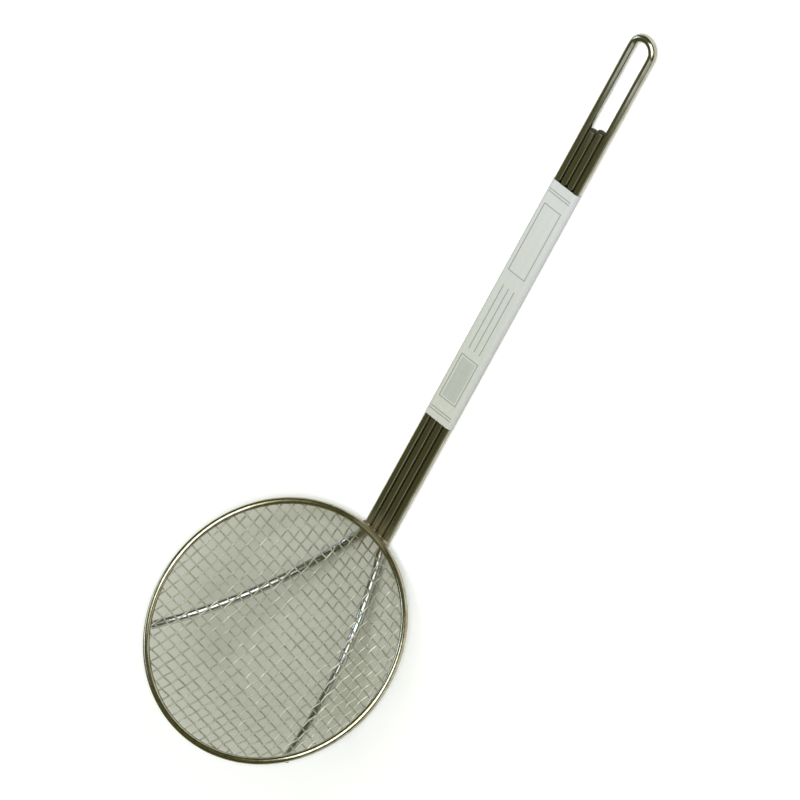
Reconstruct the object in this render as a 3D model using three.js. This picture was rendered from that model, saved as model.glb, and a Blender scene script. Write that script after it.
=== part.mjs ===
// A wire skimmer, in millimetres with +Z up. It lies as on a table: the handle is flat along +X, and the
// woven dish tilts up at the other end.
import * as THREE from "three";

// Rim and dish
const RIM_OUTSIDE_DIAMETER = 178;
const RIM_STRIP_THICKNESS = 0.7;
const RIM_LIP = 0.35; // how far each edge of the rolled strip closes in over the mesh
const DISH_DEPTH = 23; // from the rim's centre line to the middle of the mesh

// Woven mesh
const WARP_WIRES = 27; // along the handle
const WEFT_WIRES = WARP_WIRES - 1; // across it
const MESH_TURN = THREE.MathUtils.degToRad(-2.5); // the cloth lies a little askew of the handle
const MESH_WIRE_DIAMETER = 0.95;
const CROSSING_CLEARANCE = 0.3;

// Handle and ribs
const ROD_DIAMETER = 5.3;
const ROD_GAP = 0.5; // between neighbouring rods
const HANDLE_RISE = THREE.MathUtils.degToRad(32); // handle above the plane of the rim
const HANDLE_LENGTH = 405; // from the rim to the outside of the hanging loop
const INNER_ROD_LENGTH = 329; // from the rim to the mouth of the loop
const INNER_ROD_TAIL = 4; // past the rim, under the dish
const RIB_BEND = 8; // length of rod taken up by half of the bend between leg and rib
const RIB_SPREAD = THREE.MathUtils.degToRad(51.5); // rib ends, either side of the point opposite the handle

// Paper sleeve
const SLEEVE_START = 92; // from the rim
const SLEEVE_LENGTH = 191;
const PAPER_THICKNESS = 0.3;
const SLEEVE_COVER = 20; // how far inside the sleeve's end the lengths of the hairpin meet

const SEAT_CLEARANCE = 0.3; // where one piece lies against another

// Facets
const WIRE_SIDES = 4;
const ROD_SIDES = 10;
const RIM_SEGMENTS = 56;
const BEAD_OUTER_STEPS = 9;
const BEAD_INNER_STEPS = 6;
const RIB_STEPS = 13;
const BEND_STEPS = 4;
const LOOP_STEPS = 12;
const SLEEVE_STEPS = 6;

// Corner radius of a polygon that has the area of a round section.
function cornerRadius(diameter, sides) {
  const roundArea = Math.PI * (diameter / 2) ** 2;
  return Math.sqrt((2 * roundArea) / (sides * Math.sin((2 * Math.PI) / sides)));
}

// Mesh thickness: two wires at a crossing, with their flat sides facing
const WIRE_CORNER = cornerRadius(MESH_WIRE_DIAMETER, WIRE_SIDES);
const WIRE_FLAT = WIRE_CORNER * Math.cos(Math.PI / WIRE_SIDES);
const CRIMP = WIRE_FLAT + CROSSING_CLEARANCE / 2; // a wire's lift above or below the middle of the mesh
const MESH_HALF_THICKNESS = CRIMP + WIRE_FLAT;

// The rolled rim takes the mesh edge in its slot
const RIM_SLOT = MESH_HALF_THICKNESS + SEAT_CLEARANCE; // half its width
const BEAD_INNER = RIM_SLOT + RIM_LIP;
const BEAD_OUTER = BEAD_INNER + RIM_STRIP_THICKNESS;
const RIM_RADIUS = RIM_OUTSIDE_DIAMETER / 2 - BEAD_OUTER;

// The middle of the mesh is part of a sphere through the rim's centre line
const SPHERE_RADIUS = (RIM_RADIUS ** 2 + DISH_DEPTH ** 2) / (2 * DISH_DEPTH);
const SPHERE_CENTRE = new THREE.Vector3(0, 0, SPHERE_RADIUS - DISH_DEPTH);
const RIM_SLOPE = Math.asin(RIM_RADIUS / SPHERE_RADIUS);
const MESH_PITCH = (2 * SPHERE_RADIUS * RIM_SLOPE) / (WARP_WIRES + 1);

// The handle's four rods lie side by side in one plane, which passes just under the rim
const ROD_CORNER = cornerRadius(ROD_DIAMETER, ROD_SIDES);
const ROD_PITCH = ROD_DIAMETER + ROD_GAP;
const LEG_OFFSET = 1.5 * ROD_PITCH;
const RIM_SEAT = BEAD_OUTER + SEAT_CLEARANCE + ROD_CORNER;
const RIB_SEAT = MESH_HALF_THICKNESS + SEAT_CLEARANCE + ROD_CORNER;
const RIB_INSET = Math.sqrt((BEAD_OUTER + SEAT_CLEARANCE) ** 2 - RIM_SLOT ** 2); // rib end to rim centre line
const LEG_JOINT = SLEEVE_START + SLEEVE_LENGTH - SLEEVE_COVER;
const HANDLE_DIRECTION = new THREE.Vector3(Math.cos(HANDLE_RISE), 0, Math.sin(HANDLE_RISE));
const HANDLE_UP = new THREE.Vector3(-Math.sin(HANDLE_RISE), 0, Math.cos(HANDLE_RISE));
const HANDLE_START = new THREE.Vector3(RIM_RADIUS, 0, 0).addScaledVector(HANDLE_UP, -RIM_SEAT);

const PLATED_STEEL = { color: 0xb8b5a6, metalness: 1, roughness: 0.25 };
const PAPER = { color: 0xced1c7, metalness: 0, roughness: 0.8 };

function piece(name, geometry, finish) {
  const mesh = new THREE.Mesh(geometry, new THREE.MeshStandardMaterial(finish));
  mesh.name = name;
  return mesh;
}

// Direction of a line of points at one of them. At an end it carries on the turn of the line.
function tangent(points, i) {
  const last = points.length - 1;
  const between = (from, to) => points[to].clone().sub(points[from]).normalize();
  if (i > 0 && i < last) {
    return between(i - 1, i + 1);
  }
  const near = i === 0 ? between(0, 1) : between(last - 1, last);
  const next = i === 0 ? between(0, Math.min(2, last)) : between(Math.max(last - 2, 0), last);
  return near.multiplyScalar(2).sub(next).normalize();
}

// A closed solid of one polygon swept along a line of points. Each section stands square to the line, with
// a flat side towards its up direction.
function sweep(points, ups, diameter, sides) {
  const corner = cornerRadius(diameter, sides);
  const positions = [];
  points.forEach((point, i) => {
    const along = tangent(points, i);
    const side = along.clone().cross(ups[i]).normalize();
    const up = side.clone().cross(along);
    for (let k = 0; k < sides; k++) {
      const turn = Math.PI / 2 + (Math.PI * (2 * k + 1)) / sides;
      const at = point.clone();
      at.addScaledVector(side, corner * Math.cos(turn));
      at.addScaledVector(up, corner * Math.sin(turn));
      positions.push(at.x, at.y, at.z);
    }
  });
  const faces = [];
  const lastRing = (points.length - 1) * sides;
  for (let ring = 0; ring < lastRing; ring += sides) {
    for (let k = 0; k < sides; k++) {
      const a = ring + k;
      const b = ring + ((k + 1) % sides);
      faces.push(a, a + sides, b, b, a + sides, b + sides);
    }
  }
  for (let k = 1; k < sides - 1; k++) {
    faces.push(0, k, k + 1);
    faces.push(lastRing, lastRing + k + 1, lastRing + k);
  }
  const geometry = new THREE.BufferGeometry();
  geometry.setAttribute("position", new THREE.Float32BufferAttribute(positions, 3));
  geometry.setIndex(faces);
  return geometry;
}

// The point of the dish over a place in plan, pushed out through the mesh by drop.
function dishPoint(x, y, drop) {
  const height = SPHERE_CENTRE.z - Math.sqrt(SPHERE_RADIUS ** 2 - x ** 2 - y ** 2);
  const point = new THREE.Vector3(x, y, height);
  const outwards = point.clone().sub(SPHERE_CENTRE).normalize();
  return point.addScaledVector(outwards, drop);
}

// Plan distance of a mesh line from the middle of the dish: equal steps along the dish's arc.
function meshLine(number) {
  return SPHERE_RADIUS * Math.sin((number * MESH_PITCH) / SPHERE_RADIUS);
}

// Wires are numbered from the middle of the dish, so that the weft lies half a pitch off the warp.
function wireNumbers(count) {
  return Array.from({ length: count }, (_, wire) => wire - (count - 1) / 2);
}
const WARP_NUMBERS = wireNumbers(WARP_WIRES);
const WEFT_NUMBERS = wireNumbers(WEFT_WIRES);

// How far the warp wire lies below the middle of the mesh at a crossing. Its neighbours lie above.
function warpDrop(warp, weft) {
  return (warp + weft - 0.5) % 2 === 0 ? CRIMP : -CRIMP;
}

// One crimped wire, from the inside of the rim to the inside of the rim, over one crossing wire and under
// the next. Past its last crossing it goes on towards the next one, which would lie outside the rim.
function meshWire(number, isWarp) {
  const across = meshLine(number);
  const end = Math.sqrt(RIM_RADIUS ** 2 - across ** 2);
  const others = isWarp ? WEFT_NUMBERS : WARP_NUMBERS;
  const crossed = others.filter((other) => Math.abs(meshLine(other)) < end - MESH_WIRE_DIAMETER);
  const drop = (other) => (isWarp ? warpDrop(number, other) : -warpDrop(other, number));
  const endStation = (last, step) => {
    const share = (step * end - meshLine(last)) / (meshLine(last + step) - meshLine(last));
    return [step * end, THREE.MathUtils.lerp(drop(last), drop(last + step), Math.min(share, 1))];
  };
  const stations = [
    endStation(crossed.at(0), -1),
    ...crossed.map((other) => [meshLine(other), drop(other)]),
    endStation(crossed.at(-1), 1),
  ];
  const points = stations.map(([at, sink]) =>
    isWarp ? dishPoint(at, across, sink) : dishPoint(across, at, sink),
  );
  const ups = points.map((point) => SPHERE_CENTRE.clone().sub(point));
  return sweep(points, ups, MESH_WIRE_DIAMETER, WIRE_SIDES);
}

// The rim is a strip rolled into a bead, open in a slot that faces down the slope of the dish.
function rimBinding() {
  const facing = Math.PI + RIM_SLOPE;
  const outerGap = Math.asin(RIM_SLOT / BEAD_OUTER);
  const innerGap = Math.asin(RIM_SLOT / BEAD_INNER);
  const turn = 2 * Math.PI;
  const arc = (radius, from, to, clockwise, steps) =>
    new THREE.EllipseCurve(RIM_RADIUS, 0, radius, radius, from, to, clockwise).getPoints(steps);
  const outside = arc(BEAD_OUTER, facing + outerGap, facing + turn - outerGap, false, BEAD_OUTER_STEPS);
  const inside = arc(BEAD_INNER, facing + turn - innerGap, facing + innerGap, true, BEAD_INNER_STEPS);
  const profile = [...outside, ...inside, outside[0].clone()];
  return new THREE.LatheGeometry(profile, RIM_SEGMENTS).rotateX(Math.PI / 2);
}

// A point in the plane of the handle, at a distance from the rim and to one side.
function handlePoint(distance, aside) {
  const point = HANDLE_START.clone().addScaledVector(HANDLE_DIRECTION, distance);
  return point.setY(aside);
}

// The far end of the hairpin wire: out of the sleeve on one side, round the hanging loop and back.
function hairpinLoop() {
  const loopCentre = HANDLE_LENGTH - ROD_DIAMETER / 2 - LEG_OFFSET;
  const legStart = LEG_JOINT + SEAT_CLEARANCE;
  const points = [handlePoint(legStart, LEG_OFFSET)];
  for (let step = 0; step <= LOOP_STEPS; step++) {
    const turn = Math.PI * (0.5 - step / LOOP_STEPS);
    const distance = loopCentre + LEG_OFFSET * Math.cos(turn);
    points.push(handlePoint(distance, LEG_OFFSET * Math.sin(turn)));
  }
  points.push(handlePoint(legStart, -LEG_OFFSET));
  const ups = points.map(() => HANDLE_UP);
  return sweep(points, ups, ROD_DIAMETER, ROD_SIDES);
}

// One end of the hairpin wire: from inside the sleeve down the leg, round the bend under the rim and along
// the rib.
function hairpinLeg(side) {
  const points = [handlePoint(LEG_JOINT, side * LEG_OFFSET)];
  const bendStart = -BEAD_OUTER;
  const corner = handlePoint(bendStart - RIB_BEND, side * LEG_OFFSET);
  const cornerDrop = corner.distanceTo(SPHERE_CENTRE) - SPHERE_RADIUS;
  const ribEnd = new THREE.Vector3(-Math.cos(RIB_SPREAD), side * Math.sin(RIB_SPREAD), 0);
  ribEnd.multiplyScalar(RIM_RADIUS - RIB_INSET);
  const ribPoint = (share) => {
    const x = THREE.MathUtils.lerp(corner.x, ribEnd.x, share);
    const y = THREE.MathUtils.lerp(corner.y, ribEnd.y, share);
    return dishPoint(x, y, THREE.MathUtils.lerp(RIB_SEAT, cornerDrop, (1 - share) ** 8));
  };
  const bendShare = RIB_BEND / Math.hypot(corner.x - ribEnd.x, corner.y - ribEnd.y);
  const bend = new THREE.QuadraticBezierCurve3(
    handlePoint(bendStart, side * LEG_OFFSET),
    corner,
    ribPoint(bendShare),
  );
  points.push(...bend.getPoints(BEND_STEPS));
  for (let step = 1; step <= RIB_STEPS; step++) {
    points.push(ribPoint(THREE.MathUtils.lerp(bendShare, 1, step / RIB_STEPS)));
  }
  const ups = points.map(() => HANDLE_UP);
  return sweep(points, ups, ROD_DIAMETER, ROD_SIDES);
}

function innerRod(side) {
  const aside = (side * ROD_PITCH) / 2;
  const points = [handlePoint(-INNER_ROD_TAIL, aside), handlePoint(INNER_ROD_LENGTH, aside)];
  return sweep(points, [HANDLE_UP, HANDLE_UP], ROD_DIAMETER, ROD_SIDES);
}

// Round-ended outline about the row of rods.
function sleeveOutline(outline, radius) {
  outline.absarc(LEG_OFFSET, 0, radius, -Math.PI / 2, Math.PI / 2, false);
  outline.absarc(-LEG_OFFSET, 0, radius, Math.PI / 2, (3 * Math.PI) / 2, false);
  outline.closePath();
  return outline;
}

function paperSleeve() {
  const inside = ROD_CORNER + SEAT_CLEARANCE;
  const section = sleeveOutline(new THREE.Shape(), inside + PAPER_THICKNESS);
  section.holes.push(sleeveOutline(new THREE.Path(), inside));
  return new THREE.ExtrudeGeometry(section, {
    depth: SLEEVE_LENGTH,
    bevelEnabled: false,
    curveSegments: SLEEVE_STEPS,
  });
}

// The dish and what is welded to it, in the frame of the rim
const raised = new THREE.Group();
raised.add(piece("rim_binding", rimBinding(), PLATED_STEEL));
const cloth = new THREE.Group();
const wireLabel = (wire) => String(wire + 1).padStart(2, "0");
WARP_NUMBERS.forEach((number, wire) => {
  cloth.add(piece(`warp_wire_${wireLabel(wire)}`, meshWire(number, true), PLATED_STEEL));
});
WEFT_NUMBERS.forEach((number, wire) => {
  cloth.add(piece(`weft_wire_${wireLabel(wire)}`, meshWire(number, false), PLATED_STEEL));
});
cloth.rotation.z = MESH_TURN;
raised.add(cloth);
raised.add(piece("hairpin_loop", hairpinLoop(), PLATED_STEEL));
raised.add(piece("hairpin_left", hairpinLeg(1), PLATED_STEEL));
raised.add(piece("hairpin_right", hairpinLeg(-1), PLATED_STEEL));
raised.add(piece("inner_rod_left", innerRod(1), PLATED_STEEL));
raised.add(piece("inner_rod_right", innerRod(-1), PLATED_STEEL));
const sleeve = piece("paper_sleeve", paperSleeve(), PAPER);
const across = new THREE.Vector3(0, 1, 0);
sleeve.setRotationFromMatrix(new THREE.Matrix4().makeBasis(across, HANDLE_UP, HANDLE_DIRECTION));
sleeve.position.copy(handlePoint(SLEEVE_START, 0));
raised.add(sleeve);

// Turned so that the handle lies flat, with the origin under the middle of the whole
raised.rotation.y = HANDLE_RISE;
const box = new THREE.Box3().setFromObject(raised, true);
const centre = box.getCenter(new THREE.Vector3());
raised.position.set(-centre.x, -centre.y, -box.min.z);

const skimmer = new THREE.Group();
skimmer.add(raised);

export default skimmer;
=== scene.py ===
import math

import bpy
from mathutils import Matrix, Quaternion, Vector


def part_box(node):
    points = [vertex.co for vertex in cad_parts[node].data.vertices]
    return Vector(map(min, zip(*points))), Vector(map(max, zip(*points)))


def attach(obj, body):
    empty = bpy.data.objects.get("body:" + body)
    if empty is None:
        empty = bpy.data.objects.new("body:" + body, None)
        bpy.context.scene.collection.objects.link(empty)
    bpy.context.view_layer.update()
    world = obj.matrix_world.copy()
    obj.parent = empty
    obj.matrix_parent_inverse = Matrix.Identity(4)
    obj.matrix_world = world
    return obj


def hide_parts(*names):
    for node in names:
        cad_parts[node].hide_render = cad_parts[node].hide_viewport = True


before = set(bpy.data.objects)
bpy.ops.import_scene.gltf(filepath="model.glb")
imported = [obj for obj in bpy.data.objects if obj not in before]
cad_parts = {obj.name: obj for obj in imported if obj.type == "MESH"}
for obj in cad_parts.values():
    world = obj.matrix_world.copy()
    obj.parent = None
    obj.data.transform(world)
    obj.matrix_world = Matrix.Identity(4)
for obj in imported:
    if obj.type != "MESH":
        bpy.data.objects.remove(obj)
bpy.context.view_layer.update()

# Rim and dish, in metres
RIM_OUTSIDE = 0.178
RIM_STEPS = 144
BEAD_RADIUS = 0.00234
BEAD_SIDES = 40
STRIP_THICKNESS = 0.0007
SLOT_HALF = 0.0013
DISH_DEPTH = 0.023
HANDLE_RISE = math.radians(32)

# Woven mesh
WARP_WIRES = 27
WEFT_WIRES = 26
MESH_TURN = math.radians(-2.5)
MESH_WIRE = 0.00108
MESH_ROUNDNESS = 2
MESH_STEPS = 4
CRIMP = 0.00054
EDGE_TUCK = 0.0004

# Handle, with the ribs: side 1 is the left one, side -1 the right one
SIDES = {1: "left", -1: "right"}
ROD = 0.0057
ROD_PITCH = 0.0058
ROD_SIDES = 28
ROD_CHAMFER = 0.0005
CHAMFER_STEPS = 3
ROD_END_BAND = 0.001
HANDLE_LENGTH = 0.405
LEG_STOPS = (0.02, 0.1, 0.3, 0.55, 0.62, 0.75, 0.86, 0.92)
LOOP_STEPS = 12
HAIRPIN_ROUNDNESS = 6
HAIRPIN_STEPS = 6
INNER_ROD_LENGTH = 0.329
INNER_ROD_EXTRAS = {1: -0.0018, -1: 0.0015}
INNER_ROD_TAIL = 0.004
RIM_SEAT = 0.00538
RIB_SEAT = 0.00403
RIB_BEND = 0.008
BEND_STOPS = (0.25, 0.5, 0.75)
RIB_SPREAD = math.radians(51.5)
RIB_INSETS = {1: 0.0016, -1: 0.0032}
RIB_STEPS = 14
RIB_SETTLE = 8

# Weld beads
RIM_WELD = (0.0026, 0.0031, 0.0008)
RIM_WELD_AHEAD = 0.0002
RIM_WELD_LIFT = 0.0001
RIM_WELD_LANES = (-1.5, -0.5, 0.5, 1.5)
RIB_WELD = (0.0020, 0.0020, 0.0011)
RIB_WELD_SHARE = 0.45
WELD_ROUNDNESS = 4
WELD_LUMPS = 0.0016
WELD_SWELL = 0.0004

# Paper sleeve
SLEEVE_LENGTH = 0.191
SLEEVE_SLACK = 0.00005
SLEEVE_SIDES = 32
SLEEVE_CUTS_ACROSS = 11
SLEEVE_CUTS_ALONG = 36
SLEEVE_SKEW = 0.12
SLEEVE_SLIDE = 0.0008
PAPER = 0.00015
LAP_REACH = 0.001
LAP_GAP = 0.00003

# Hollows of the sleeve between two rods: depth, and the share of the hollow it runs from and to
HOLLOWS = ((0.00009, 0.3, 0.7), (0.00016, 0.9, 1.1))
HOLLOW_MARGIN = 0.0002

# Two points nearer than this are one
TINY = 0.00002
SMOOTH_ANGLE = math.radians(40)

RIM_RADIUS = RIM_OUTSIDE / 2 - BEAD_RADIUS
SPHERE_RADIUS = (RIM_RADIUS ** 2 + DISH_DEPTH ** 2) / (2 * DISH_DEPTH)
SPHERE_HEIGHT = SPHERE_RADIUS - DISH_DEPTH
RIM_SLOPE = math.asin(RIM_RADIUS / SPHERE_RADIUS)
MESH_PITCH = 2 * SPHERE_RADIUS * RIM_SLOPE / (WARP_WIRES + 1)
LEG_OFFSET = 1.5 * ROD_PITCH
SLEEVE_INSIDE = ROD / 2 + SLEEVE_SLACK

# The rim's own frame stands at the middle of the rim, tilted with the dish
rim_low, rim_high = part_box("rim_binding")
RIM_CENTRE = (Vector(rim_low) + Vector(rim_high)) / 2
DISH_FRAME = Matrix.Translation(RIM_CENTRE) @ Matrix.Rotation(HANDLE_RISE, 4, "Y")
JOINT = DISH_FRAME @ Vector((RIM_RADIUS, 0, 0))

HANDLE_ALONG = Vector((math.cos(HANDLE_RISE), 0, math.sin(HANDLE_RISE)))
HANDLE_UP = Vector((-math.sin(HANDLE_RISE), 0, math.cos(HANDLE_RISE)))
HANDLE_ROOT = Vector((RIM_RADIUS, 0, 0)) - HANDLE_UP * RIM_SEAT

sleeve_low, sleeve_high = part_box("paper_sleeve")
SLEEVE_MIDDLE = (Vector(sleeve_low) + Vector(sleeve_high)) / 2


def deselect():
    if bpy.context.object and bpy.context.object.mode != "OBJECT":
        bpy.ops.object.mode_set(mode="OBJECT")
    bpy.ops.object.select_all(action="DESELECT")


# Selects, in edit mode, the vertices, edges or faces that pass a test
def pick(piece, kind, test):
    bpy.ops.object.mode_set(mode="EDIT")
    bpy.ops.mesh.select_mode(type=kind)
    bpy.ops.mesh.select_all(action="DESELECT")
    bpy.ops.object.mode_set(mode="OBJECT")
    parts = {"VERT": piece.data.vertices, "EDGE": piece.data.edges, "FACE": piece.data.polygons}[kind]
    for part in parts:
        part.select = test(part)
    bpy.ops.object.mode_set(mode="EDIT")


# Moves the vertices that pass a test
def move(piece, test, step):
    pick(piece, "VERT", test)
    bpy.ops.transform.translate(value=step)
    bpy.ops.object.mode_set(mode="OBJECT")


# Gives an open surface its thickness, inwards
def thicken(piece, thickness):
    sheet = piece.modifiers.new("thickness", "SOLIDIFY")
    sheet.thickness = thickness
    sheet.offset = -1
    bpy.ops.object.modifier_apply(modifier=sheet.name)


def finish_piece(piece, name, nodes, place=None):
    deselect()
    bpy.context.view_layer.objects.active = piece
    piece.select_set(True)
    piece.name = name
    piece.data.name = name
    if place is not None:
        piece.matrix_world = place @ piece.matrix_world
    bpy.ops.object.transform_apply(location=True, rotation=True, scale=True)
    bpy.ops.object.shade_smooth_by_angle(angle=SMOOTH_ANGLE)
    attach(piece, "root")
    if nodes:
        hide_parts(*nodes)


# Round wires drawn through lines of points, and made a mesh
def drawn_wires(lines, diameter, roundness, steps):
    deselect()
    bpy.ops.curve.primitive_bezier_curve_add(location=(0, 0, 0))
    curve = bpy.context.object.data
    curve.splines.clear()
    curve.dimensions = "3D"
    curve.twist_mode = "MINIMUM"
    for points in lines:
        spline = curve.splines.new("BEZIER")
        spline.bezier_points.add(len(points) - 1)
        for handle, point in zip(spline.bezier_points, points):
            handle.co = point
            handle.handle_left_type = "AUTO"
            handle.handle_right_type = "AUTO"
        spline.resolution_u = steps
    curve.bevel_depth = diameter / 2
    curve.bevel_resolution = roundness
    curve.use_fill_caps = True
    bpy.ops.object.convert(target="MESH")
    return bpy.context.object


# A point of the dish, which is part of a sphere; drop is how far below the mesh it lies
def dish_point(x, y, drop):
    height = -math.sqrt(SPHERE_RADIUS ** 2 - x * x - y * y)
    share = (SPHERE_RADIUS + drop) / SPHERE_RADIUS
    return Vector((x * share, y * share, SPHERE_HEIGHT + height * share))


# How far from the middle of the dish a wire lies, by its number
def mesh_line(number):
    return SPHERE_RADIUS * math.sin(number * MESH_PITCH / SPHERE_RADIUS)


# The wires of one set, counted from the middle one
def wire_numbers(count):
    return [wire - (count - 1) / 2 for wire in range(count)]


# One wire of the mesh: it goes over and under the wires that it crosses, and ends inside the rim
def mesh_wire(number, is_warp):
    across = mesh_line(number)
    reach = math.sqrt(RIM_RADIUS ** 2 - across ** 2)
    stops = []
    for crossing in wire_numbers(WEFT_WIRES if is_warp else WARP_WIRES):
        along = mesh_line(crossing)
        if abs(along) < reach - MESH_WIRE:
            over = (number + crossing - 0.5) % 2 == 0
            stops.append((along, CRIMP if over == is_warp else -CRIMP))
    ends = reach - EDGE_TUCK
    turn = Matrix.Rotation(MESH_TURN, 3, "Z")
    points = []
    for along, drop in [(-ends, 0)] + stops + [(ends, 0)]:
        x, y = (along, across) if is_warp else (across, along)
        points.append(turn @ dish_point(x, y, drop))
    return points


# Woven mesh
for set_name, count, is_warp in (("warp", WARP_WIRES, True), ("weft", WEFT_WIRES, False)):
    lines = [mesh_wire(number, is_warp) for number in wire_numbers(count)]
    wires = drawn_wires(lines, MESH_WIRE, MESH_ROUNDNESS, MESH_STEPS)
    wire_nodes = [f"{set_name}_wire_{wire + 1:02d}" for wire in range(count)]
    finish_piece(wires, f"woven_{set_name}", wire_nodes, DISH_FRAME)

# Rolled rim: an open ring of strip, spun round the dish, with its slot towards the mesh
deselect()
bead_middle = Vector((RIM_RADIUS, 0, 0))
bpy.ops.mesh.primitive_circle_add(
    vertices=BEAD_SIDES, radius=BEAD_RADIUS, location=bead_middle, rotation=(math.pi / 2, 0, 0)
)
rim = bpy.context.object
bpy.ops.object.transform_apply(location=True, rotation=True, scale=True)
slot_way = Vector((-math.cos(RIM_SLOPE), 0, -math.sin(RIM_SLOPE)))
slot_turn = math.asin(SLOT_HALF / BEAD_RADIUS)
pick(rim, "VERT", lambda vertex: (vertex.co - bead_middle).angle(slot_way) < slot_turn)
bpy.ops.mesh.delete(type="VERT")
bpy.ops.mesh.select_all(action="SELECT")
bpy.ops.mesh.spin(steps=RIM_STEPS, angle=2 * math.pi, center=(0, 0, 0), axis=(0, 0, 1))
bpy.ops.mesh.select_all(action="SELECT")
bpy.ops.mesh.remove_doubles(threshold=TINY)
bpy.ops.mesh.normals_make_consistent(inside=False)
bpy.ops.object.mode_set(mode="OBJECT")
thicken(rim, STRIP_THICKNESS)
finish_piece(rim, "rolled_rim", ["rim_binding"], DISH_FRAME)


# A point of the handle, by its distance from the rim and its place across the rods
def handle_point(distance, aside):
    return HANDLE_ROOT + HANDLE_ALONG * distance + Vector((0, aside, 0))


# One side of the hairpin: down a leg, round the bend below the rim, and along the rib under the mesh
def hairpin_side(side):
    aside = side * LEG_OFFSET
    leg = [handle_point(HANDLE_LENGTH * share, aside) for share in reversed(LEG_STOPS)]
    bend_start = handle_point(0, aside)
    corner = handle_point(-RIB_BEND, aside)
    corner_drop = (corner - Vector((0, 0, SPHERE_HEIGHT))).length - SPHERE_RADIUS
    end_turn = math.pi - side * RIB_SPREAD
    reach = RIM_RADIUS - RIB_INSETS[side]
    end = Vector((reach * math.cos(end_turn), reach * math.sin(end_turn), 0))
    rib = []
    for step in range(RIB_STEPS + 1):
        share = step / RIB_STEPS
        plan = corner.lerp(end, share)
        drop = RIB_SEAT + (corner_drop - RIB_SEAT) * (1 - share) ** RIB_SETTLE
        rib.append(dish_point(plan.x, plan.y, drop))
    bend = []
    for share in BEND_STOPS:
        before = bend_start.lerp(corner, share)
        after = corner.lerp(rib[1], share)
        bend.append(before.lerp(after, share))
    return leg + [bend_start] + bend + rib[1:]


# Hairpin: one heavy wire, from one rib's end along a leg, round the hanging loop and back to the other rib
loop_centre = HANDLE_LENGTH - LEG_OFFSET - ROD / 2
loop = []
for step in range(LOOP_STEPS + 1):
    turn = math.pi / 2 - math.pi * step / LOOP_STEPS
    loop.append(handle_point(loop_centre + LEG_OFFSET * math.cos(turn), LEG_OFFSET * math.sin(turn)))
hairpin_line = hairpin_side(1)[::-1] + loop + hairpin_side(-1)
hairpin = drawn_wires([hairpin_line], ROD, HAIRPIN_ROUNDNESS, HAIRPIN_STEPS)
finish_piece(hairpin, "hairpin_wire", ["hairpin_left", "hairpin_right", "hairpin_loop"], DISH_FRAME)

# Inner rods, cut off square at the mouth of the loop
for side, side_name in SIDES.items():
    deselect()
    reach = INNER_ROD_LENGTH + INNER_ROD_EXTRAS[side]
    length = reach + INNER_ROD_TAIL
    bpy.ops.mesh.primitive_cylinder_add(vertices=ROD_SIDES, radius=ROD / 2, depth=length)
    rod = bpy.context.object
    heights = [vertex.co.z for vertex in rod.data.vertices]
    pick(rod, "EDGE", lambda edge: heights[edge.vertices[0]] * heights[edge.vertices[1]] > 0)
    bpy.ops.mesh.bevel(offset=ROD_CHAMFER, segments=CHAMFER_STEPS, affect="EDGES")
    for end in (-1, 1):
        bpy.ops.mesh.select_all(action="SELECT")
        bpy.ops.mesh.bisect(plane_co=(0, 0, end * (length / 2 - ROD_END_BAND)), plane_no=(0, 0, 1))
    bpy.ops.object.mode_set(mode="OBJECT")
    middle = handle_point((reach - INNER_ROD_TAIL) / 2, side * ROD_PITCH / 2)
    rod.matrix_world = Matrix.Translation(middle) @ Matrix.Rotation(math.pi / 2 - HANDLE_RISE, 4, "Y")
    bpy.ops.object.transform_apply(location=True, rotation=True, scale=True)
    finish_piece(rod, f"inner_rod_{side_name}_wire", [f"inner_rod_{side_name}"], DISH_FRAME)

# Paper sleeve: a tube drawn out sideways over the four rods
deselect()
bpy.ops.mesh.primitive_cylinder_add(
    vertices=SLEEVE_SIDES,
    radius=SLEEVE_INSIDE + PAPER,
    depth=SLEEVE_LENGTH,
    end_fill_type="NOTHING",
    location=(0, 0, 0),
    rotation=(0, math.pi / 2, 0),
)
sleeve = bpy.context.object
bpy.ops.object.transform_apply(location=True, rotation=True, scale=True)
for side in SIDES:
    move(sleeve, lambda vertex: vertex.co.y * side > TINY, (0, side * LEG_OFFSET, 0))


# Cuts the sleeve's long edges that run along one axis, 0 for X and 1 for Y
def cut_sleeve(axis, cuts):
    corners = [vertex.co.copy() for vertex in sleeve.data.vertices]

    def is_long(edge):
        first, second = edge.vertices
        return abs(corners[first][axis] - corners[second][axis]) > LEG_OFFSET

    pick(sleeve, "EDGE", is_long)
    bpy.ops.mesh.subdivide(number_cuts=cuts)
    bpy.ops.object.mode_set(mode="OBJECT")


cut_sleeve(1, SLEEVE_CUTS_ACROSS)
cut_sleeve(0, SLEEVE_CUTS_ALONG)
bpy.ops.object.mode_set(mode="EDIT")
bpy.ops.mesh.select_all(action="SELECT")
bpy.ops.mesh.normals_make_consistent(inside=False)
bpy.ops.object.mode_set(mode="OBJECT")


# Share of the way from the top of a rod to the hollow beside it
def hollow(y):
    return 0.5 - 0.5 * math.cos(2 * math.pi * (y / ROD_PITCH - 0.5))


# The sheet sinks a little between the rods, on both faces
for face in (1, -1):
    for depth, least, most in HOLLOWS:
        move(
            sleeve,
            lambda vertex: vertex.co.z * face > SLEEVE_INSIDE
            and abs(vertex.co.y) < LEG_OFFSET - HOLLOW_MARGIN
            and least < hollow(vertex.co.y) < most,
            (0, 0, -face * depth),
        )

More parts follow.
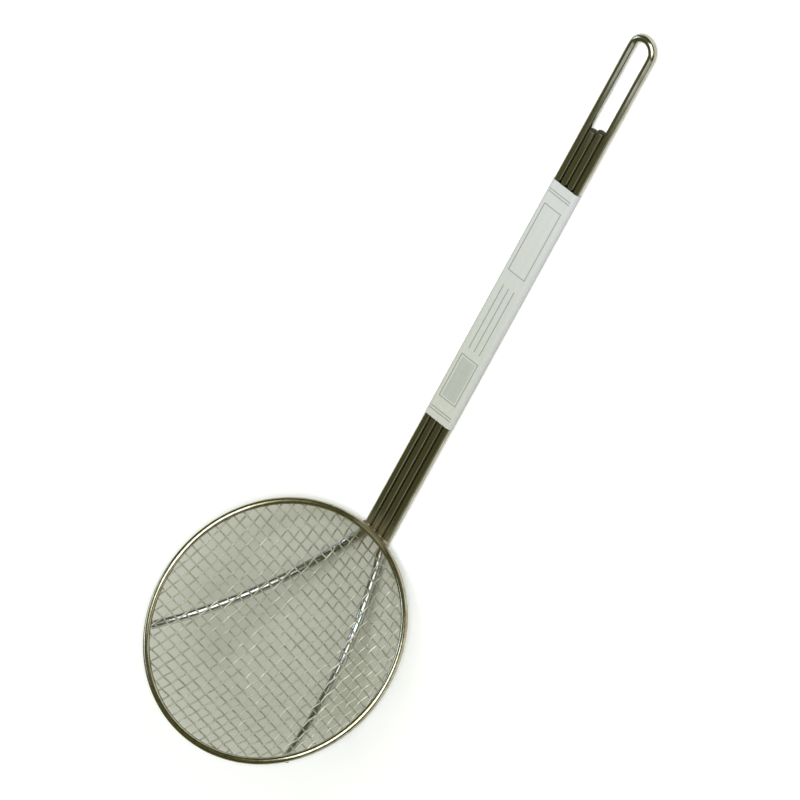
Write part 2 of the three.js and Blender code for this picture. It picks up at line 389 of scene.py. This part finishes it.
# The sheet is wrapped slightly askew
column_width = 2 * LEG_OFFSET / (SLEEVE_CUTS_ACROSS + 1)
last_column = round((LEG_OFFSET + SLEEVE_INSIDE + PAPER) / column_width)
for column in range(-last_column, last_column + 1):
    middle = column * column_width
    move(
        sleeve,
        lambda vertex: abs(vertex.co.y - middle) <= column_width / 2,
        (SLEEVE_SLIDE - SLEEVE_SKEW * middle, 0, 0),
    )

# The lap runs along the underside
pick(sleeve, "FACE", lambda part: part.center.z < -SLEEVE_INSIDE and part.center.y < LAP_REACH)
bpy.ops.mesh.duplicate()
bpy.ops.transform.translate(value=(0, 0, -PAPER - LAP_GAP))
bpy.ops.object.mode_set(mode="OBJECT")
thicken(sleeve, PAPER)
sleeve.location = SLEEVE_MIDDLE
finish_piece(sleeve, "label_sleeve", ["paper_sleeve"])


# A flat lump of weld metal, with an uneven surface
def weld_bead(name, place, spread):
    deselect()
    bpy.ops.mesh.primitive_ico_sphere_add(subdivisions=WELD_ROUNDNESS, radius=1, location=(0, 0, 0))
    bead = bpy.context.object
    bead.scale = spread
    bpy.ops.object.transform_apply(location=True, rotation=True, scale=True)
    lumps = bpy.data.textures.new(name, "CLOUDS")
    lumps.noise_scale = WELD_LUMPS
    swell = bead.modifiers.new("swell", "DISPLACE")
    swell.texture = lumps
    swell.texture_coords = "GLOBAL"
    swell.strength = WELD_SWELL
    bead.location = place
    bpy.ops.object.modifier_apply(modifier=swell.name)
    finish_piece(bead, name, [], DISH_FRAME)


# Weld beads: the rods against the rim, and the rib ends inside it
weld_names = []
for number, lane in enumerate(RIM_WELD_LANES):
    weld_names.append(f"rim_weld_{number + 1}")
    place = handle_point(RIM_WELD_AHEAD, lane * ROD_PITCH) + HANDLE_UP * (ROD / 2 + RIM_WELD_LIFT)
    weld_bead(weld_names[-1], place, RIM_WELD)
for number, side in enumerate(SIDES):
    weld_names.append(f"rib_weld_{number + 1}")
    rib_end = hairpin_side(side)[-1]
    rim_near = Vector((rib_end.x, rib_end.y, 0)).normalized() * RIM_RADIUS
    weld_bead(weld_names[-1], rib_end.lerp(rim_near, RIB_WELD_SHARE), RIB_WELD)

# Where the clouds of a noise begin and end
CLOUD_LOW = 0.35
CLOUD_HIGH = 0.65

# Plating: the heat tint fades with the distance from the joint, and the drawing lines darken the metal
HEAT_NEAR = 0.006
HEAT_FAR = 0.022
HEAT_SHARE = 0.85
HEAT_MATT = 0.3
HEAT_TINT = (0.30, 0.26, 0.15)
STREAK_LOW = 0.4
STREAK_HIGH = 0.7
STREAK_SHARE = 0.55
STREAK_SHADE = 0.6
STREAK_STRENGTH = 0.12
STREAK_DEPTH = 0.0002
ROD_DRAWN = (9, 1300, 1300)
MESH_DRAWN = (500, 500, 500)
RIM_DRAWN = (300, 300, 300)
CUT_END_SLOPE = 0.2

# Paper: warm at the rim's end and cooler towards the loop, with a painted bluish shade where it folds down
# over the right leg
PAPER_SHADE = (0.61, 0.62, 0.555)
PAPER_LIGHT = (0.675, 0.68, 0.61)
PAPER_COOL = (0.66, 0.66, 0.665)
PAPER_COOL_SHARE = 0.8
PAPER_PAINTED_SHADE = (0.60, 0.60, 0.665)
PAPER_PAINTED_SHADE_SHARE = 0.5
PAPER_FIBRE = 700
PAPER_MATT = 0.65
PAINTED_SHADE_START = -0.0085
PAINTED_SHADE_END = -0.0115

# Print on the upper face: lengths run along the sheet from its start, widths across it
RULE = 0.0007
INK = (0.25, 0.26, 0.24)
INK_SHARE = 0.8
CROSS_RULES = (0.006, 0.008, 0.183, 0.185)
CROSS_RULE_WIDTH = 0.019
WRITING_LINES = (-0.0048, 0, 0.0048)
WRITING_MIDDLE = 0.083
WRITING_LENGTH = 0.052
FRAMES = ((0.034, 0.034), (0.147, 0.054))
FRAME_WIDTH = 0.0145
PANEL_MIDDLE = 0.034
PANEL_LENGTH = 0.031
PANEL_WIDTH = 0.0115
PANEL_SHARE = 0.3


def new_material(name):
    material = bpy.data.materials.new(name)
    material.use_nodes = True
    return material, material.node_tree, material.node_tree.nodes["Principled BSDF"]


def object_place(tree):
    return tree.nodes.new("ShaderNodeTexCoord").outputs["Object"]


def noise(tree, place, scale, detail):
    node = tree.nodes.new("ShaderNodeTexNoise")
    node.inputs["Scale"].default_value = scale
    node.inputs["Detail"].default_value = detail
    tree.links.new(place, node.inputs["Vector"])
    return node.outputs["Fac"]


def ramp(tree, source, low, high, to_low=0, to_high=1):
    node = tree.nodes.new("ShaderNodeMapRange")
    node.interpolation_type = "SMOOTHSTEP"
    node.inputs["From Min"].default_value = low
    node.inputs["From Max"].default_value = high
    node.inputs["To Min"].default_value = to_low
    node.inputs["To Max"].default_value = to_high
    tree.links.new(source, node.inputs["Value"])
    return node.outputs["Result"]


def blend_colour(tree, share, first, second):
    node = tree.nodes.new("ShaderNodeMix")
    node.data_type = "RGBA"
    for socket, value in ((node.inputs["A"], first), (node.inputs["B"], second)):
        if isinstance(value, tuple):
            socket.default_value = (*value, 1)
        else:
            tree.links.new(value, socket)
    tree.links.new(share, node.inputs["Factor"])
    return node.outputs["Result"]


def maths(tree, operation, *values):
    node = tree.nodes.new("ShaderNodeMath")
    node.operation = operation
    for socket, value in zip(node.inputs, values):
        if isinstance(value, (int, float)):
            socket.default_value = value
        else:
            tree.links.new(value, socket)
    return node.outputs["Value"]


# Nickel plating over wire: clouds of tarnish, drawing lines along the handle, and heat tint round the joint
def plated(name, bright, dull, roughness, patch, drawn):
    material, tree, shader = new_material(name)
    place = object_place(tree)
    cloud = noise(tree, place, patch, 4)
    colour = blend_colour(tree, ramp(tree, cloud, CLOUD_LOW, CLOUD_HIGH), bright, dull)
    stretch = tree.nodes.new("ShaderNodeMapping")
    stretch.inputs["Scale"].default_value = drawn
    tree.links.new(place, stretch.inputs["Vector"])
    lines = noise(tree, stretch.outputs["Vector"], 1, 3)
    streak = ramp(tree, lines, STREAK_LOW, STREAK_HIGH, 0, STREAK_SHARE)
    colour = blend_colour(tree, streak, colour, tuple(STREAK_SHADE * part for part in dull))
    gap = tree.nodes.new("ShaderNodeVectorMath")
    gap.operation = "DISTANCE"
    tree.links.new(place, gap.inputs[0])
    gap.inputs[1].default_value = JOINT
    heat = ramp(tree, gap.outputs["Value"], HEAT_NEAR, HEAT_FAR, HEAT_SHARE, 0)
    tree.links.new(blend_colour(tree, heat, colour, HEAT_TINT), shader.inputs["Base Color"])
    clean = ramp(tree, cloud, 0.3, 0.7, *roughness)
    matt = maths(tree, "MULTIPLY_ADD", heat, HEAT_MATT, clean)
    tree.links.new(matt, shader.inputs["Roughness"])
    bump = tree.nodes.new("ShaderNodeBump")
    bump.inputs["Strength"].default_value = STREAK_STRENGTH
    bump.inputs["Distance"].default_value = STREAK_DEPTH
    tree.links.new(lines, bump.inputs["Height"])
    tree.links.new(bump.outputs["Normal"], shader.inputs["Normal"])
    shader.inputs["Metallic"].default_value = 1
    return material


# Bare metal with a fine grain: cut ends and weld beads
def grainy(name, dark, light, grain, metallic, roughness):
    material, tree, shader = new_material(name)
    share = ramp(tree, noise(tree, object_place(tree), grain, 2), CLOUD_LOW, CLOUD_HIGH)
    tree.links.new(blend_colour(tree, share, dark, light), shader.inputs["Base Color"])
    shader.inputs["Metallic"].default_value = metallic
    shader.inputs["Roughness"].default_value = roughness
    return material


# How far a point of the sheet lies outside a printed box
def outside(tree, sheet, box_middle, box_size):
    gaps = []
    for place, middle, size in zip(sheet, box_middle, box_size):
        gap = maths(tree, "ABSOLUTE", maths(tree, "SUBTRACT", place, middle))
        gaps.append(maths(tree, "SUBTRACT", gap, size / 2))
    return maths(tree, "MAXIMUM", *gaps)


# Generic print: rules across both ends, lines of writing, two frames and a grey panel, askew with the sheet
def print_share(tree, spot):
    sheet_along = maths(tree, "MULTIPLY_ADD", spot.outputs["Y"], SLEEVE_SKEW, spot.outputs["X"])
    sheet = (sheet_along, spot.outputs["Y"])
    start = sleeve_low[0]
    boxes = [((start + along, 0), (RULE, CROSS_RULE_WIDTH)) for along in CROSS_RULES]
    for across in WRITING_LINES:
        boxes.append(((start + WRITING_MIDDLE, across), (WRITING_LENGTH, RULE)))
    marks = [maths(tree, "LESS_THAN", outside(tree, sheet, *box), 0) for box in boxes]
    for along, length in FRAMES:
        frame_gap = outside(tree, sheet, (start + along, 0), (length, FRAME_WIDTH))
        marks.append(maths(tree, "LESS_THAN", maths(tree, "ABSOLUTE", frame_gap), RULE / 2))
    ink = marks[0]
    for mark in marks[1:]:
        ink = maths(tree, "MAXIMUM", ink, mark)
    panel_gap = outside(tree, sheet, (start + PANEL_MIDDLE, 0), (PANEL_LENGTH, PANEL_WIDTH))
    panel = maths(tree, "MULTIPLY", maths(tree, "LESS_THAN", panel_gap, 0), PANEL_SHARE)
    ink = maths(tree, "MAXIMUM", maths(tree, "MULTIPLY", ink, INK_SHARE), panel)
    upper = maths(tree, "GREATER_THAN", spot.outputs["Z"], SLEEVE_MIDDLE.z)
    return maths(tree, "MULTIPLY", ink, upper)


def label_paper():
    material, tree, shader = new_material("label_paper")
    place = object_place(tree)
    fibre = ramp(tree, noise(tree, place, PAPER_FIBRE, 5), 0.3, 0.7)
    colour = blend_colour(tree, fibre, PAPER_SHADE, PAPER_LIGHT)
    spot = tree.nodes.new("ShaderNodeSeparateXYZ")
    tree.links.new(place, spot.inputs["Vector"])
    cool = ramp(tree, spot.outputs["X"], sleeve_low[0], sleeve_high[0], 0, PAPER_COOL_SHARE)
    colour = blend_colour(tree, cool, colour, PAPER_COOL)
    # Painted shade: the sheet turns darker and bluish where it folds down over the right leg
    painted_shade = ramp(tree, spot.outputs["Y"], PAINTED_SHADE_START, PAINTED_SHADE_END, 0, PAPER_PAINTED_SHADE_SHARE)
    colour = blend_colour(tree, painted_shade, colour, PAPER_PAINTED_SHADE)
    colour = blend_colour(tree, print_share(tree, spot), colour, INK)
    tree.links.new(colour, shader.inputs["Base Color"])
    shader.inputs["Roughness"].default_value = PAPER_MATT
    return material


rod_metal = plated(
    "plated_rod",
    bright=(0.47, 0.46, 0.40),
    dull=(0.38, 0.36, 0.27),
    roughness=(0.13, 0.25),
    patch=60,
    drawn=ROD_DRAWN,
)
# The ribs are the same wire as the legs; this copy of the plating is cooler and greyer, a painted
# bluish-grey reflection, and a little rougher
rib_metal_painted_reflection = plated(
    "plated_rib_painted_reflection",
    bright=(0.43, 0.44, 0.43),
    dull=(0.31, 0.31, 0.27),
    roughness=(0.18, 0.30),
    patch=60,
    drawn=ROD_DRAWN,
)
mesh_metal = plated(
    "plated_mesh_wire",
    bright=(0.62, 0.61, 0.51),
    dull=(0.50, 0.49, 0.38),
    roughness=(0.54, 0.66),
    patch=90,
    drawn=MESH_DRAWN,
)
rim_metal = plated(
    "plated_rim",
    bright=(0.45, 0.43, 0.34),
    dull=(0.35, 0.32, 0.21),
    roughness=(0.14, 0.24),
    patch=50,
    drawn=RIM_DRAWN,
)
cut_metal = grainy(
    "cut_end",
    dark=(0.03, 0.028, 0.014),
    light=(0.10, 0.095, 0.055),
    grain=1500,
    metallic=0.7,
    roughness=0.7,
)
weld_metal = grainy(
    "weld_bead",
    dark=(0.25, 0.22, 0.14),
    light=(0.42, 0.38, 0.27),
    grain=900,
    metallic=0.9,
    roughness=0.55,
)
paper = label_paper()


# The ribs are the hairpin's part beyond the bend
def on_rib(part):
    return part.center.x < JOINT.x - RIB_BEND


# A rod's cut end is its cap and the chamfer round it
def on_cut_end(part):
    return abs(part.normal.x) > CUT_END_SLOPE or len(part.vertices) > 4


# Coats a piece, with a second coat on the faces that pass a test
def coat_piece(name, coat, second_coat=None, test=None):
    surface = bpy.data.objects[name].data
    surface.materials.clear()
    surface.materials.append(coat)
    if second_coat:
        surface.materials.append(second_coat)
        for part in surface.polygons:
            part.material_index = int(test(part))


coat_piece("woven_warp", mesh_metal)
coat_piece("woven_weft", mesh_metal)
coat_piece("rolled_rim", rim_metal)
coat_piece("hairpin_wire", rod_metal, rib_metal_painted_reflection, on_rib)
coat_piece("inner_rod_left_wire", rod_metal, cut_metal, on_cut_end)
coat_piece("inner_rod_right_wire", rod_metal, cut_metal, on_cut_end)
coat_piece("label_sleeve", paper)
for weld_name in weld_names:
    coat_piece(weld_name, weld_metal)

# Camera: its directions, and the rim's place in the picture, in pixels
CAMERA_BACK = Vector((0.4808, -0.4562, 0.7484)).normalized()
CAMERA_TURN = Vector((0.4249, -0.630, -0.6496))
CAMERA_UP = CAMERA_BACK.cross(CAMERA_TURN).normalized()
CAMERA_RIGHT = CAMERA_UP.cross(CAMERA_BACK)
CAMERA_DISTANCE = 20.0
CAMERA_REACH = 100
SENSOR_WIDTH = 36
PICTURE_WIDTH = 800
PIXEL = 0.000633
RIM_LEFT_OF_MIDDLE = 124.75
RIM_BELOW_MIDDLE = 230.64

# Floor: white, with a painted shadow: a grey oval, without glow, that lies behind the dish
FLOOR_SIZE = 60
FLOOR_COLOUR = (0.78, 0.785, 0.70)
FLOOR_GLOW = (0.42, 0.42, 0.47)
FLOOR_MATT = 0.9
FLOOR_GLOSS = 0.1
PAINTED_SHADOW_COLOUR = (0.68, 0.675, 0.60)
PAINTED_SHADOW_MIDDLE = RIM_CENTRE - CAMERA_BACK * (RIM_CENTRE.z / CAMERA_BACK.z)
PAINTED_SHADOW_TURN = math.radians(-34)
PAINTED_SHADOW_SIZE = (0.1152, 0.0819, 1)
PAINTED_SHADOW_EDGE_START = 0.94
PAINTED_SHADOW_EDGE_END = 1.05

# Surroundings: a dim uneven room over a white horizon
HORIZON_LOW = 0.02
HORIZON_HIGH = 0.09
HORIZON_COLOUR = (1, 1, 1)
ROOM_DARK = (0.070, 0.070, 0.022)
ROOM_LIGHT = (0.170, 0.168, 0.062)
ROOM_PATCH = 2.2

deselect()
bpy.ops.mesh.primitive_plane_add(size=FLOOR_SIZE, location=(0, 0, 0))
floor = bpy.context.object
floor.name = "floor"
floor_paint, tree, shader = new_material("floor_white_painted_shadow")
centred = tree.nodes.new("ShaderNodeMapping")
centred.vector_type = "TEXTURE"
centred.inputs["Location"].default_value = PAINTED_SHADOW_MIDDLE
centred.inputs["Rotation"].default_value = (0, 0, PAINTED_SHADOW_TURN)
centred.inputs["Scale"].default_value = PAINTED_SHADOW_SIZE
tree.links.new(object_place(tree), centred.inputs["Vector"])
away = tree.nodes.new("ShaderNodeVectorMath")
away.operation = "LENGTH"
tree.links.new(centred.outputs["Vector"], away.inputs[0])
# Painted shadow: inside the oval the floor is grey and does not glow; outside it the floor is white
clear = ramp(tree, away.outputs["Value"], PAINTED_SHADOW_EDGE_START, PAINTED_SHADOW_EDGE_END)
rays = tree.nodes.new("ShaderNodeLightPath")
seen = maths(tree, "MAXIMUM", rays.outputs["Is Camera Ray"], rays.outputs["Is Glossy Ray"])
seen = maths(tree, "MAXIMUM", seen, rays.outputs["Is Transmission Ray"])
tree.links.new(maths(tree, "MULTIPLY", clear, seen), shader.inputs["Emission Strength"])
tree.links.new(blend_colour(tree, clear, PAINTED_SHADOW_COLOUR, FLOOR_COLOUR), shader.inputs["Base Color"])
shader.inputs["Emission Color"].default_value = (*FLOOR_GLOW, 1)
shader.inputs["Roughness"].default_value = FLOOR_MATT
shader.inputs["Specular IOR Level"].default_value = FLOOR_GLOSS
floor.data.materials.append(floor_paint)

camera_data = bpy.data.cameras.new("camera")
camera = bpy.data.objects.new("camera", camera_data)
bpy.context.scene.collection.objects.link(camera)
look_at = RIM_CENTRE + (CAMERA_RIGHT * RIM_LEFT_OF_MIDDLE + CAMERA_UP * RIM_BELOW_MIDDLE) * PIXEL
camera_turn = Matrix((CAMERA_RIGHT, CAMERA_UP, CAMERA_BACK)).transposed().to_4x4()
camera.matrix_world = Matrix.Translation(look_at + CAMERA_BACK * CAMERA_DISTANCE) @ camera_turn
camera_data.sensor_width = SENSOR_WIDTH
camera_data.lens = SENSOR_WIDTH * CAMERA_DISTANCE / (PICTURE_WIDTH * PIXEL)
camera_data.clip_end = CAMERA_REACH
bpy.context.scene.camera = camera

world = bpy.data.worlds.new("surroundings")
bpy.context.scene.world = world
world.use_nodes = True
tree = world.node_tree
sky = tree.nodes.new("ShaderNodeTexCoord").outputs["Generated"]
way = tree.nodes.new("ShaderNodeSeparateXYZ")
tree.links.new(sky, way.inputs["Vector"])
horizon = ramp(tree, way.outputs["Z"], HORIZON_LOW, HORIZON_HIGH, 1, 0)
patches = ramp(tree, noise(tree, sky, ROOM_PATCH, 1), CLOUD_LOW, CLOUD_HIGH)
room = blend_colour(tree, patches, ROOM_DARK, ROOM_LIGHT)
surroundings = blend_colour(tree, horizon, room, HORIZON_COLOUR)
tree.links.new(surroundings, tree.nodes["Background"].inputs["Color"])


# A soft light that stands off from the point it is aimed at
def softbox(name, aim, way, distance, size, power, colour, roll=0):
    deselect()
    way = Vector(way).normalized()
    bpy.ops.object.light_add(type="AREA", location=Vector(aim) + way * distance)
    lamp = bpy.context.object
    lamp.name = name
    lamp.data.shape = "RECTANGLE"
    lamp.data.size, lamp.data.size_y = size
    lamp.data.energy = power
    lamp.data.color = colour
    turn = way.to_track_quat("Z", "Y") @ Quaternion((0, 0, 1), roll)
    lamp.rotation_euler = turn.to_euler()
    lamp.visible_camera = False


softbox(
    "key",
    aim=(0, 0, 0),
    way=(0.416, -0.27, 0.872),
    distance=2.6,
    size=(2.3, 2.3),
    power=74,
    colour=(0.95, 0.98, 1),
)
softbox(
    "cool_fill",
    aim=(0.05, 0, 0),
    way=(-0.45, -0.80, 0.36),
    distance=2.0,
    size=(1.2, 0.7),
    power=1.2,
    colour=(0.72, 0.82, 1),
)
softbox(
    "loop_card",
    aim=(0.262, 0, 0),
    way=(-0.471, -0.40, 0.79),
    distance=0.22,
    size=(0.06, 0.26),
    power=0.042,
    colour=(0.92, 0.95, 1),
    roll=math.radians(46),
)
softbox(
    "window",
    aim=RIM_CENTRE,
    way=(-0.02, 0.83, 0.54),
    distance=3.0,
    size=(0.8, 1.3),
    power=15,
    colour=(0.62, 0.78, 1),
)

bpy.context.scene.view_settings.view_transform = "Standard"
